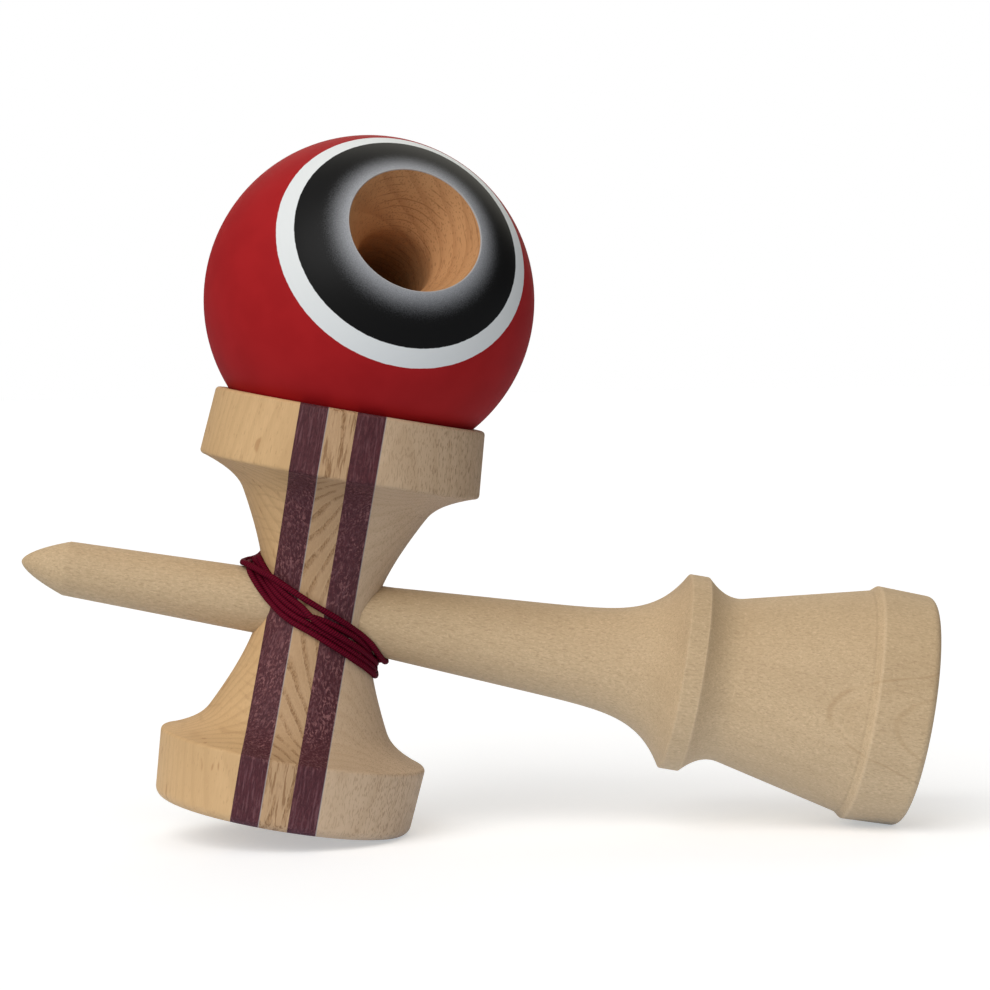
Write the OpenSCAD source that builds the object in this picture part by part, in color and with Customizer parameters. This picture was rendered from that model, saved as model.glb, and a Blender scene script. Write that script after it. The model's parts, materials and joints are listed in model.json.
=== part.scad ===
// Kendama: a turned ken in a sarado of five glued strips, with a painted tama on its wound string.
// The object lies as it was photographed, on the small cup's rim and the base's rim.

/* [Tama] */
// Diameter of the ball
tama_d = 60; // [57:0.5:64]
// Diameter of the hole where the bevel meets the painted surface
hole_mouth_d = 24.2; // [20:0.1:27]
// Depth of the bevel, from the mouth to the straight bore
hole_bevel_depth = 12.4; // [8:0.1:14]
// Diameter of the straight bore
hole_bore_d = 13.6; // [12.6:0.1:16]
// Length of the straight bore
hole_bore_length = 20.5; // [18:0.1:21]
// Diameter of the bead's seat below the bore
bead_seat_d = 10.4; // [9.8:0.1:12]
// Length of the bead's seat
bead_seat_length = 10.5; // [10:0.1:11.5]
// Point angle of the drill that cut the seat
drill_point_angle = 118; // [100:1:135]
// Diameter of the string hole on the far side
tama_string_hole_d = 3; // [2.4:0.1:4]
// Turn of the hole toward the base, seen from above
hole_turn = 14.7; // [5:0.1:25]
// Rise of the hole above the rim's plane
hole_rise = 28.8; // [24:0.1:32]

/* [Bead] */
// Diameter of the bead in the tama
bead_d = 9; // [8:0.1:9.4]
// Length of the bead between its flat ends
bead_length = 7.2; // [6:0.1:7.6]
// Diameter of the bead's string hole
bead_hole_d = 2.2; // [2:0.1:2.8]

/* [Ken] */
// Distance from the crossing to the spike's tip
spike_reach = 54.3; // [48:0.1:62]
// Length of the pointed nose of the spike
spike_nose_length = 8.3; // [6:0.1:12]
// Diameter of the spike behind its nose
spike_d = 9.9; // [8:0.1:11]
// Diameter of the taper where it leaves the sarado on the spike side
taper_small_d = 11.7; // [11:0.1:12.2]
// Diameter of the taper where it leaves the sarado on the grip side
taper_large_d = 12.9; // [12.4:0.1:13.6]
// Diameter that the grip's plain taper would reach at the flange
grip_taper_d = 19.9; // [16:0.1:24]
// How late the grip sweeps up into the flange
grip_sweep = 11; // [6:0.5:14]
// Distance from the crossing to the flange
flange_reach = 66.3; // [60:0.1:72]
// Width of the flange
flange_w = 3.5; // [2.5:0.1:5]
// Diameter of the flange
flange_d = 35.9; // [32:0.1:38]
// Length of the cove behind the flange
cove_length = 7; // [5:0.1:10]
// Diameter that the base's flare would have at the flange
flare_root_d = 26.9; // [24:0.1:29]
// Distance from the crossing to the step on the base
step_reach = 99.6; // [94:0.1:103]
// Diameter of the flare at the step
flare_d = 41.1; // [38:0.1:42]
// Width of the slope on the step
step_slope_w = 1.2; // [0.6:0.1:2]
// Diameter of the base's band at the step
base_band_d = 43.1; // [42.4:0.1:45]
// Distance from the crossing to the base's rim
base_reach = 111.3; // [107:0.1:118]
// Diameter of the base's band at its rim
base_rim_d = 42.5; // [41:0.1:44]
// Rounding of the base's rim
base_rim_round = 1.5; // [1:0.1:2.6]
// Diameter of the base cup's mouth
base_cup_d = 35.2; // [32:0.1:36]
// Depth of the base cup
base_cup_depth = 7; // [5.5:0.1:9]

/* [Sarado] */
// Diameter of the waist at the crossing
waist_d = 20.4; // [19.6:0.1:22]
// Spread of the waist toward the big cup
big_spread = 0.68; // [0.6:0.01:0.72]
// Spread of the waist toward the small cup
small_spread = 0.64; // [0.58:0.01:0.7]
// Depth of the shoulders under the two bands
shoulder_depth = 5.4; // [4:0.1:7]
// Rounding of the bands' inner edges
band_edge_round = 0.7; // [0.3:0.1:1.2]
// Distance from the crossing to the big cup's rim
big_reach = 37.3; // [35:0.1:40]
// Width of the big cup's band
big_band_w = 12.4; // [10:0.1:14]
// Diameter of the big cup's band at its inner edge
big_band_d = 51.4; // [49.8:0.1:54]
// Diameter of the big cup at its rim
big_rim_d = 49.6; // [48.8:0.1:52]
// Rounding of the big cup's rim
big_rim_round = 0.7; // [0.4:0.1:1]
// Diameter of the big cup's mouth
big_cup_d = 45.8; // [43:0.1:46.4]
// Distance from the crossing to the small cup's rim
small_reach = 37.8; // [36:0.1:41]
// Width of the small cup's band
small_band_w = 12.7; // [10:0.1:14]
// Diameter of the small cup's band at its inner edge
small_band_d = 48.7; // [46:0.1:51]
// Diameter of the small cup at its rim
small_rim_d = 47.1; // [45:0.1:49]
// Rounding of the small cup's rim
small_rim_round = 2; // [1:0.1:2.6]
// Diameter of the small cup's mouth
small_cup_d = 39.6; // [37:0.1:40]
// Depth of the small cup
small_cup_depth = 8.4; // [7.4:0.1:10]
// Width of the middle strip
centre_strip_w = 5.1; // [4.6:0.1:6]
// Width of each dark strip
stripe_w = 5.1; // [4:0.1:6]
// Shift of the strips from the crossing, toward the base
strip_shift = -1; // [-1.4:0.1:-0.6]

/* [String] */
// Diameter of the string
string_d = 1.15; // [1:0.05:1.6]
// Diameter of the sarado's string hole
sarado_string_hole_d = 2.2; // [2:0.1:2.6]
// Diameter of the pocket for the string's knot, inside the sarado
knot_pocket_d = 4; // [3.8:0.1:4.4]
// Diameter of the knots
knot_d = 3.4; // [2.8:0.1:3.6]
// Height of the sarado's string hole above the crossing
sarado_string_hole_z = 3.6; // [3.4:0.1:3.8]

/* [Clearances] */
// Gap between the ken's taper and its bore in the sarado
taper_gap = 0.05; // [0.02:0.01:0.1]
// Gap between the tama and the big cup's lip
seat_gap = 0.3; // [0.2:0.05:0.5]
// Gap between the tama and the big cup's floor
big_cup_room = 1.3; // [0.8:0.1:3]
// Gap between the bead and its seat, and between the knot and the bead
bead_gap = 0.2; // [0.1:0.05:0.4]
// Gap between the knot and the ken
knot_gap = 0.25; // [0.15:0.05:0.4]
// Gap between the string's turns and the ken
turn_ken_gap = 0.3; // [0.25:0.05:0.5]
// Gap between the string's turns and the sarado
turn_waist_gap = 0.45; // [0.4:0.05:0.6]
// Gap from one turn of the string to the next
turn_gap = 0.55; // [0.5:0.05:0.8]

/* [Hidden] */
$fn = 96;

// Steps along a turned curve, and round a rounded edge
curve_steps = 10;
round_steps = 4;
// How far a cut runs past the face that it opens
overcut = 1;

// Shapes of the curves, as powers
nose_power = 0.6;
shoulder_power = 2.5;
cove_power = 2;

// How the points of a curve crowd toward its tight end, as powers
nose_crowding = 1.7;
grip_crowding = 1.6;
waist_crowding = 0.8;

// Half the length of the taper, which reaches past the waist on both sides
taper_reach = waist_d / 2 + 2.8;

string_r = string_d / 2;
tama_r = tama_d / 2;
knot_r = knot_d / 2;

// Sphere that cuts a dish of the given mouth and depth
function dish_r(mouth_d, depth) = (pow(mouth_d / 2, 2) + depth * depth) / (2 * depth);

function mix(a, b, t) = a + (b - a) * t;
function share(x, a, b) = (x - a) / (b - a);
function clamp(x, a, b) = max(a, min(b, x));

// Points of a rounded edge of radius r about a centre, from one angle to another
function edge(centre, r, from, to) =
    [for (i = [0:round_steps])
        let (a = mix(from, to, i / round_steps))
        centre + r * [cos(a), sin(a)]];

// Radius of the ken's taper, and of the grip from the taper to the flange
function taper_r(x) = mix(taper_small_d, taper_large_d, share(x, -taper_reach, taper_reach)) / 2;
function grip_r(x) =
    let (t = share(x, taper_reach, flange_reach))
    mix(taper_large_d, grip_taper_d, t) / 2 + (flange_d - grip_taper_d) / 2 * pow(t, grip_sweep);

// Radius of the base from the flange to the step, with its cove
flange_end = flange_reach + flange_w;
function flare_r(x) =
    let (t = clamp(share(x, flange_end, flange_end + cove_length), 0, 1))
    mix(flare_root_d, flare_d, share(x, flange_end, step_reach)) / 2
    + (flange_d - flare_root_d) / 2 * pow(1 - t, cove_power);

// Outline of the ken as [radius, distance along its axis]
nose_start = spike_nose_length - spike_reach;
ken_outline = concat(
    [[0, -spike_reach]],
    [for (i = [1:curve_steps])
        let (t = pow(i / curve_steps, nose_crowding))
        [spike_d / 2 * pow(t, nose_power), mix(-spike_reach, nose_start, t)]],
    [[taper_small_d / 2, -taper_reach]],
    [for (i = [0:2 * curve_steps])
        let (x = mix(taper_reach, flange_reach, 1 - pow(1 - i / (2 * curve_steps), grip_crowding)))
        [grip_r(x), x]],
    [for (i = [0:curve_steps])
        let (x = mix(flange_end, flange_end + cove_length, i / curve_steps))
        [flare_r(x), x]],
    [[flare_d / 2, step_reach], [base_band_d / 2, step_reach + step_slope_w]],
    edge([base_rim_d / 2 - base_rim_round, base_reach - base_rim_round], base_rim_round, 0, 90),
    [[0, base_reach]]
);

// Radius of the sarado's waist, and of the waist with its shoulder up to a band
function waist_r(z) = norm([waist_d / 2, (z > 0 ? big_spread : small_spread) * z]);
function shoulder_r(z, edge_z, band_d) =
    let (t = clamp(share(abs(z), edge_z - shoulder_depth, edge_z), 0, 1))
    waist_r(z) + (band_d / 2 - band_edge_round - waist_r(sign(z) * edge_z)) * pow(t, shoulder_power);

// Outline of the sarado as [radius, height above the crossing]
big_edge_z = big_reach - big_band_w;
small_edge_z = small_reach - small_band_w;
sarado_outline = concat(
    [[0, -small_reach]],
    edge([small_rim_d / 2 - small_rim_round, small_rim_round - small_reach], small_rim_round, -90, 0),
    edge([small_band_d / 2 - band_edge_round, -small_edge_z - band_edge_round], band_edge_round, 0, 90),
    [for (i = [1:2 * curve_steps])
        let (z = -small_edge_z * pow(1 - i / (2 * curve_steps), waist_crowding))
        [shoulder_r(z, small_edge_z, small_band_d), z]],
    [for (i = [1:2 * curve_steps])
        let (z = big_edge_z * pow(i / (2 * curve_steps), waist_crowding))
        [shoulder_r(z, big_edge_z, big_band_d), z]],
    edge([big_band_d / 2 - band_edge_round, big_edge_z + band_edge_round], band_edge_round, -90, 0),
    edge([big_rim_d / 2 - big_rim_round, big_reach - big_rim_round], big_rim_round, 0, 90),
    [[0, big_reach]]
);

// Rest: the small cup's rim and the base's rim both touch the ground
rim_x = small_rim_d / 2 - small_rim_round;
rim_z = small_reach - small_rim_round;
base_x = base_reach - base_rim_round;
base_z = base_rim_d / 2 - base_rim_round;
rest_tilt = atan2(rim_z - base_z, base_x - rim_x)
    + asin((small_rim_round - base_rim_round) / norm([rim_z - base_z, base_x - rim_x]));
rest_z = small_rim_round + rim_x * sin(rest_tilt) + rim_z * cos(rest_tilt);
right_end = base_x * cos(rest_tilt) + base_z * sin(rest_tilt) + base_rim_round;
left_end = -spike_reach * cos(rest_tilt);
rest_x = -(left_end + right_end) / 2;

// The tama and its hole, whose axis points out of the mouth
tama_rise = sqrt(pow(tama_r + seat_gap, 2) - pow(big_cup_d / 2, 2));
tama_z = big_reach + tama_rise;
big_cup_depth = tama_r - tama_rise + big_cup_room;
hole_axis = [cos(hole_rise) * sin(hole_turn), -cos(hole_rise) * cos(hole_turn), sin(hole_rise)];
hole_mouth_z = sqrt(tama_r * tama_r - pow(hole_mouth_d / 2, 2));
bore_top = hole_mouth_z - hole_bevel_depth;
bore_end = bore_top - hole_bore_length;
bead_seat_end = bore_end - bead_seat_length;
drill_half = drill_point_angle / 2;
drill_tip = bead_seat_end - bead_seat_d / 2 / tan(drill_half);
tama_string_hole_r = tama_string_hole_d / 2;
// The bevel's cone runs on past the ball's surface, and the string hole past its far side
bevel_top = tama_r + overcut;
bevel_grow = (hole_mouth_d - hole_bore_d) / 2 / hole_bevel_depth;
hollow_outline = [
    [0, bevel_top], [hole_bore_d / 2 + bevel_grow * (bevel_top - bore_top), bevel_top],
    [hole_bore_d / 2, bore_top], [hole_bore_d / 2, bore_end],
    [bead_seat_d / 2, bore_end], [bead_seat_d / 2, bead_seat_end],
    [tama_string_hole_r, drill_tip + tama_string_hole_r / tan(drill_half)],
    [tama_string_hole_r, -bevel_top], [0, -bevel_top]
];
bead_z = drill_tip + (bead_d / 2 + bead_gap) / sin(drill_half);
tama_knot_z = bead_z + bead_length / 2 + bead_gap + knot_r;

// The string's lengths out of the tama's hole, and the space to the free stretch
string_proud = 0.6;
string_joint_gap = 0.3;
stretch_lead = 2.5;

// The sarado's string hole, and its knot just clear of the ken
knot_y = sqrt(pow(taper_r(strip_shift) + knot_gap + knot_r, 2) - pow(sarado_string_hole_z, 2));
pocket_end_y = knot_y + knot_r + bead_gap;
hole_exit_y = sqrt(pow(waist_r(sarado_string_hole_z), 2) - pow(strip_shift, 2)) + turn_waist_gap;

// The winding: turns round the crossing, in two layers, from notch to notch.
// A turn starts at the back, and passes the right notch, the front and the left notch.
turns = 4.75;
layer_turns = 3;
climb_turns = 0.5;
rings_per_turn = 24;
turn_pitch = string_d + turn_gap;
layer_lean = 0.2;
front_drop = 0.9;
turn_spread = 0.3;
turn_roundness = 0.75;
turn_bulge = 0.4;
left_room = 0.75;
climb_dip = 0.76;
turn_y = waist_d / 2 + turn_spread + string_r + turn_waist_gap;
left_notch_z = taper_small_d / 2 + string_r + turn_ken_gap;
right_notch_z = -grip_r(taper_reach + 2 * turn_pitch) - string_r - turn_ken_gap;
turn_off = string_r + turn_waist_gap;
left_notch_x = layer_lean - waist_r(left_notch_z + turn_pitch) - turn_off - left_room * turn_pitch;
right_notch_x = waist_r(right_notch_z - turn_pitch) + turn_off + turn_pitch - layer_lean;
notch_mid = [left_notch_x + right_notch_x, 0, left_notch_z + right_notch_z] / 2;
notch_half = [right_notch_x - left_notch_x, 0, right_notch_z - left_notch_z] / 2;
turn_normal = cross(notch_half, [0, 1, 0]) / norm(notch_half);

// Places across the bundle, in turns: down the first layer, round the climb and back up the second
function across(u) =
    u < layer_turns - 0.5 ? layer_turns / 2 - u
    : u > layer_turns + 0.5 ? u - layer_turns - 1
    : mix(-1, -0.5, u - layer_turns + 0.5) - climb_dip * pow(sin(180 * (u - layer_turns + 0.5)), 2);
function layer(u) = clamp(share(u, layer_turns - climb_turns / 2, layer_turns + climb_turns / 2), 0, 1);

// Point of the winding's middle line after u turns
function turn_point(u) =
    let (s = sin(360 * u), c = cos(360 * u))
    notch_mid + notch_half * s
    + layer(u) * s * [layer_lean, 0, -turn_pitch]
    + across(u) * turn_pitch * (1 + turn_bulge * pow(sin(720 * u), 2))
        * (turn_normal * c * c + [s * s, 0, 0])
    - front_drop * pow(max(0, -c), 2) * turn_normal
    + [0, (turn_y + layer(u) * turn_pitch) * sign(c) * pow(abs(c), turn_roundness), 0];

// Point of a cubic curve with its two ends and two handles
function cubic(a, b, c, d, t) =
    pow(1 - t, 3) * a + 3 * t * pow(1 - t, 2) * b + 3 * t * t * (1 - t) * c + pow(t, 3) * d;

// Middle line of the winding: out of the sarado's hole, into the turns, and straight at its far end
lead_turn = 0.14;
lead_steps = 9;
lead_handle = 3.2;
lead_in_handle = 5.1;
lead_probe = 0.01;
lead_from = [strip_shift, hole_exit_y, sarado_string_hole_z];
lead_out = lead_from + [0, string_d, 0];
lead_to = turn_point(lead_turn);
lead_way = turn_point(lead_turn + lead_probe) - turn_point(lead_turn - lead_probe);
ring_count = round((turns - lead_turn) * rings_per_turn);
winding_line = concat(
    [lead_from],
    [for (i = [0:lead_steps - 1])
        cubic(lead_out, lead_out + [0, lead_handle, 0],
              lead_to - lead_in_handle * lead_way / norm(lead_way), lead_to, i / lead_steps)],
    [for (i = [0:ring_count]) turn_point(mix(lead_turn, turns, i / ring_count))],
    [turn_point(turns) + [0, string_d, 0]]
);

// Route of the free stretch from the tama's string hole, behind the big cup, to the winding's end
tama_centre = [0, 0, tama_z];
stretch_start = tama_centre - (tama_r + string_proud + string_joint_gap) * hole_axis;
stretch_line = concat(
    [stretch_start, stretch_start - stretch_lead * hole_axis],
    [[-8, 31, 39.5], [-8.8, 32.8, 37.6], [-9.5, 33.6, 35.1], [-10.2, 33.3, 32.3], [-10.9, 32.1, 29.6],
     [-11.5, 30.3, 27], [-12, 28.2, 24.6], [-12.4, 25.8, 22.3], [-12.8, 23, 20], [-13, 20, 17.8],
     [-12.6, 16.8, 15.6], [-12.1, 13.4, 13.4], [-11.7, 9.9, 11.5], [-11.6, 6.8, 10.1]],
    [turn_point(turns) + [0, 3 * string_d, 0], turn_point(turns) + [0, string_d, 0]]
);

// A tube of triangles along a line of points, with rings square to the line and turned to one side
function way(line, i) =
    let (d = line[min(i + 1, len(line) - 1)] - line[max(i - 1, 0)])
    d / norm(d);
function ring(line, i, side, sides, r) =
    let (t = way(line, i), a = side - (side * t) * t)
    let (u = a / norm(a), v = cross(t, u))
    [for (k = [0:sides - 1]) line[i] + r * (cos(360 * k / sides) * u + sin(360 * k / sides) * v)];
module tube(line, side, sides, r) {
    rings = len(line);
    points = [for (i = [0:rings - 1]) each ring(line, i, side, sides, r)];
    walls = [for (i = [0:rings - 2], k = [0:sides - 1])
        let (a = i * sides + k, b = i * sides + (k + 1) % sides)
        each [[a, a + sides, b], [b, a + sides, b + sides]]];
    ends = [for (k = [1:sides - 2])
        each [[0, k, k + 1], [(rings - 1) * sides, (rings - 1) * sides + k + 1, (rings - 1) * sides + k]]];
    polyhedron(points = points, faces = concat(walls, ends));
}

// Least gap of the winding to itself, over points more than a third of a turn apart
apart = round(rings_per_turn / 3);
self_gap = min([for (i = [0:len(winding_line) - 1], j = [0:1:i - apart - 1])
    norm(winding_line[i] - winding_line[j])]) - string_d;
function line_length(line, i = 1) =
    i >= len(line) ? 0 : norm(line[i] - line[i - 1]) + line_length(line, i + 1);
echo(winding_self_gap = self_gap, winding_length = line_length(winding_line));
echo(stretch_length = line_length(stretch_line));

// Where things lie at rest, for the record
function at_rest(p) = [p[0] * cos(rest_tilt) + p[2] * sin(rest_tilt) + rest_x, p[1],
                       p[2] * cos(rest_tilt) - p[0] * sin(rest_tilt) + rest_z];
echo(rest_tilt = rest_tilt, crossing = at_rest([0, 0, 0]), tama_centre = at_rest(tama_centre));
echo(hole_axis_at_rest = at_rest(hole_axis) - at_rest([0, 0, 0]));
echo(bore_middle = at_rest(tama_centre + (bore_top + bore_end) / 2 * hole_axis));

// Puts a piece that is drawn about the crossing where it lies at rest
module at_rest_place() {
    translate([rest_x, 0, rest_z]) rotate([0, rest_tilt, 0]) children();
}

// Puts a piece that is drawn about the tama's centre, with its hole up, on the big cup
module in_tama() {
    at_rest_place() translate(tama_centre) rotate([90 - hole_rise, 0, hole_turn]) children();
}

module along_ken() {
    rotate([0, 90, 0]) children();
}

module ken() {
    color("#dcc19c") at_rest_place() along_ken() difference() {
        rotate_extrude() polygon(ken_outline);
        translate([0, 0, base_reach + dish_r(base_cup_d, base_cup_depth) - base_cup_depth])
            sphere(r = dish_r(base_cup_d, base_cup_depth));
    }
}

module sarado_body() {
    difference() {
        rotate_extrude() polygon(sarado_outline);
        translate([0, 0, big_reach + dish_r(big_cup_d, big_cup_depth) - big_cup_depth])
            sphere(r = dish_r(big_cup_d, big_cup_depth));
        translate([0, 0, -small_reach - dish_r(small_cup_d, small_cup_depth) + small_cup_depth])
            sphere(r = dish_r(small_cup_d, small_cup_depth));
        along_ken() translate([0, 0, -big_band_d])
            cylinder(h = 2 * big_band_d, r1 = taper_r(-big_band_d) + taper_gap,
                     r2 = taper_r(big_band_d) + taper_gap);
        translate([strip_shift, 0, sarado_string_hole_z]) rotate([-90, 0, 0]) {
            cylinder(h = big_band_d, d = sarado_string_hole_d);
            cylinder(h = pocket_end_y, d = knot_pocket_d);
        }
    }
}

// The part of the sarado between two planes across the ken, and between two heights
module sarado_slice(from, to, low = -small_reach - overcut, high = big_reach + overcut) {
    at_rest_place() intersection() {
        sarado_body();
        translate([from, -big_band_d, low]) cube([to - from, 2 * big_band_d, high - low]);
    }
}

centre_from = strip_shift - centre_strip_w / 2;
centre_to = strip_shift + centre_strip_w / 2;

// The ken's bore parts the spike-side block in two
module sarado_left_block_upper() {
    color("#d9b27c") sarado_slice(-big_band_d, centre_from - stripe_w, low = 0);
}

module sarado_left_block_lower() {
    color("#d9b27c") sarado_slice(-big_band_d, centre_from - stripe_w, high = 0);
}

module sarado_left_stripe() {
    color("#5b3540") sarado_slice(centre_from - stripe_w, centre_from);
}

module sarado_centre_strip() {
    color("#cfae80") sarado_slice(centre_from, centre_to);
}

module sarado_right_stripe() {
    color("#5b3540") sarado_slice(centre_to, centre_to + stripe_w);
}

module sarado_right_block() {
    color("#cdb48e") sarado_slice(centre_to + stripe_w, big_band_d);
}

module tama() {
    color("#a3161c") in_tama() difference() {
        sphere(r = tama_r);
        rotate_extrude() polygon(hollow_outline);
    }
}

module bead() {
    color("#c9a46c") in_tama() translate([0, 0, bead_z]) difference() {
        intersection() {
            sphere(d = bead_d);
            translate([0, 0, -bead_length / 2]) cylinder(h = bead_length, d = bead_d + overcut);
        }
        translate([0, 0, -bead_length / 2 - overcut])
            cylinder(h = bead_length + 2 * overcut, d = bead_hole_d);
    }
}

module string_winding() {
    color("#6d1029") at_rest_place() tube(winding_line, turn_normal, 6, string_r);
}

module string_to_tama() {
    color("#6d1029") at_rest_place() tube(stretch_line, [1, 0, 0], 8, string_r);
}

module string_in_tama() {
    color("#6d1029") in_tama() {
        translate([0, 0, -tama_r - string_proud])
            cylinder(h = tama_knot_z + tama_r + string_proud, d = string_d);
        translate([0, 0, tama_knot_z]) sphere(d = knot_d);
    }
}

module string_in_sarado() {
    color("#6d1029") at_rest_place() translate([strip_shift, knot_y, sarado_string_hole_z]) {
        rotate([-90, 0, 0]) cylinder(h = hole_exit_y - knot_y, d = string_d);
        sphere(d = knot_d);
    }
}

ken();
sarado_left_block_upper();
sarado_left_block_lower();
sarado_left_stripe();
sarado_centre_strip();
sarado_right_stripe();
sarado_right_block();
tama();
bead();
string_winding();
string_to_tama();
string_in_tama();
string_in_sarado();
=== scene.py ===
"""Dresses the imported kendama: turned woods, a painted ball and a wound string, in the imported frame.

Shapes are worked out in millimetres about the crossing of the ken and the sarado, with x along the
ken toward its base, y away from the viewer and z along the sarado toward the ball. They are then
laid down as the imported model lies, in metres.
"""
import json
import math

import bmesh
import bpy
import numpy as np
from mathutils import Matrix


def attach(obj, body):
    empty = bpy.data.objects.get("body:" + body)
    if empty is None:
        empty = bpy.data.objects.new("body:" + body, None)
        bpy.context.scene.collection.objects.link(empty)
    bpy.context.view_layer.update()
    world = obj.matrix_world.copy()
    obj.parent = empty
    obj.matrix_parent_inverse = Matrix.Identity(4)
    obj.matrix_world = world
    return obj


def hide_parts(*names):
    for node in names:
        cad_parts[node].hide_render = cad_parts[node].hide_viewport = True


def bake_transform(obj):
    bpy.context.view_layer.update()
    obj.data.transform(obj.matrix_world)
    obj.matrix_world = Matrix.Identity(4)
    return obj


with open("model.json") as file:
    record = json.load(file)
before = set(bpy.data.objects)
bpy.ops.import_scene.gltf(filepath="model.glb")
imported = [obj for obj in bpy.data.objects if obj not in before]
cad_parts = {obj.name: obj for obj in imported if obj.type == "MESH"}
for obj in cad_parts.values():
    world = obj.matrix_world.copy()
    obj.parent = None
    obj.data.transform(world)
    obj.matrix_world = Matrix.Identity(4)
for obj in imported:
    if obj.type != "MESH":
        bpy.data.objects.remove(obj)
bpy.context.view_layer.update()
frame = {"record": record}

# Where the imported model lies
joints = {j["name"]: j for j in frame["record"]["behaviour"]["joints"]}
KEN_WAY = -np.array(joints["sarado_pull"]["axis"])
SARADO_WAY = np.array(joints["tama_lift"]["axis"])
HOLE_WAY = np.array(joints["tama_spin"]["axis"])
BALL_MIDDLE = np.array(joints["tama_spin"]["pos_m"])
LAID = np.c_[KEN_WAY, np.cross(SARADO_WAY, KEN_WAY), SARADO_WAY]

# Sizes of the ball and its bead in mm, as in the part's source
BALL_R, BALL_STRING_HOLE_R = 30.0, 1.5
HOLE_MOUTH_R, HOLE_BORE_R = 12.1, 6.8
BEVEL_DEPTH, BORE_LENGTH, BORE_EASE = 12.4, 20.5, 1.4
SEAT_R, SEAT_LENGTH = 5.2, 10.5
DRILL_SLOPE = math.tan(math.radians(59))
BEAD_R, BEAD_HALF, BEAD_HOLE_R, BEAD_Z = 4.5, 3.6, 1.1, -13.59
# Sizes of the ken, by place along it. Pairs go from the spike toward the base
TIP_X, NOSE_LENGTH, NOSE_POWER = -54.3, 8.3, 0.6
SPIKE_R = 4.95
TAPER_HALF, TAPER_R, TAPER_GAP = 13.0, (5.85, 6.45), 0.05
GRIP_R, GRIP_SWEEP = 9.95, 11
FLANGE_X, FLANGE_R = (66.3, 69.8), 17.95
COVE_LENGTH = 7
FLARE_R = (13.45, 20.55)
STEP_X = (99.6, 100.8)
BASE_X, BASE_BAND_R, BASE_RIM_R, BASE_RIM_ROUND = 111.3, 21.55, 21.25, 1.5
BASE_CUP_R, BASE_CUP_DEPTH = 17.6, 7
# Sizes of the sarado, by reach from the crossing
WAIST_R = 10.2
BIG_SPREAD, SMALL_SPREAD = 0.68, 0.64
SHOULDER_DEPTH, SHOULDER_POWER = 5.4, 2.5
BIG_REACH, SMALL_REACH = 37.3, 37.8
BIG_BAND_Z, SMALL_BAND_Z = 24.9, 25.1
BIG_BAND_R, SMALL_BAND_R = 25.7, 24.35
BIG_RIM_R, SMALL_RIM_R = 24.8, 23.55
EDGE_ROUND, SMALL_RIM_ROUND = 0.7, 2.0
BIG_CUP_R, SMALL_CUP_R = 22.9, 19.8
BIG_CUP_ROOM, SMALL_CUP_DEPTH = 1.3, 8.4
BALL_SEAT_GAP = 0.3
STRIP_EDGES = (-8.65, -3.55, 1.55, 6.65)
BALL_RISE = BIG_REACH + math.sqrt((BALL_R + BALL_SEAT_GAP) ** 2 - BIG_CUP_R ** 2)
CROSSING = BALL_MIDDLE - BALL_RISE / 1000 * SARADO_WAY
# The string, its hole in the sarado, the pocket for its knot, and how far the bore is cut
STRING_R = 0.575
SARADO_HOLE, SARADO_HOLE_R = np.array([-1.0, 10.4, 3.6]), 1.1
POCKET_R, POCKET_DEPTH = 2.0, 9.05
BORE_REACH = 60


# Ways and places

def unit(way):
    """A way with a length of one."""
    way = np.asarray(way, float)
    return way / np.linalg.norm(way)


def square_to(way):
    """Two ways square to a way and to each other."""
    side = unit(np.cross(way, [0.3, 0.5, 0.8]))
    return side, np.cross(way, side)


def laid(points):
    """Points about the crossing in mm, laid as the toy lies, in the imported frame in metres."""
    return np.asarray(points, float) @ LAID.T / 1000 + CROSSING


# The ball's own x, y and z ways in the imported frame, with z out of its hole
BALL_SIDE = unit(np.cross(SARADO_WAY, HOLE_WAY))
BALL_AXES = np.c_[BALL_SIDE, np.cross(HOLE_WAY, BALL_SIDE), HOLE_WAY]


def in_ball(points):
    """Points about the ball's middle in mm, with z out of the hole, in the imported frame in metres."""
    return np.asarray(points, float) @ BALL_AXES.T / 1000 + BALL_MIDDLE


def from_crossing(points):
    """The same points about the ball's middle, about the crossing in mm."""
    return ((in_ball(points) - CROSSING) * 1000) @ LAID


def aim(item, at, right, back):
    """Puts a camera or a lamp into the scene at a place, by its back way and about its right way."""
    back = unit(back)
    right = unit(right - right @ back * back)
    place = np.eye(4)
    place[:3, :3] = np.c_[right, np.cross(back, right), back]
    place[:3, 3] = at
    item.matrix_world = Matrix(place.tolist())
    bpy.context.scene.collection.objects.link(item)


# Camera, as fitted to the photograph: its place and its ways about the crossing, and its focal length by
# the picture's width
CAMERA_AT = (5.74, -582.31, 46.715)
CAMERA_LOOK = np.array([0.03902, 0.99862, -0.03514])
CAMERA_RIGHT = np.array([0.98505, -0.03253, 0.16915])
PHOTO_FOCUS = 3197.43 / 990
SENSOR = 36


def make_camera():
    """A camera with the fitted place, ways and focal length."""
    data = bpy.data.cameras.new("photo_camera")
    data.sensor_width = SENSOR
    data.lens = SENSOR * PHOTO_FOCUS
    data.clip_start = 0.01
    data.clip_end = 50
    camera = bpy.data.objects.new("photo_camera", data)
    aim(camera, laid(CAMERA_AT), LAID @ CAMERA_RIGHT, -LAID @ CAMERA_LOOK)
    bpy.context.scene.camera = camera


make_camera()


# Lines and surfaces

def steps(line):
    """The length of each step along a line of points."""
    return np.linalg.norm(np.diff(line, axis=0), axis=1)


def run(line):
    """The length along a line up to each of its points."""
    return np.append(0, np.cumsum(steps(line)))


def sampled(line, at_points, wanted):
    """A line's points for wanted values, by straight interpolation of the values at its points."""
    return np.stack([np.interp(wanted, at_points, column) for column in line.T], 1)


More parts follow.
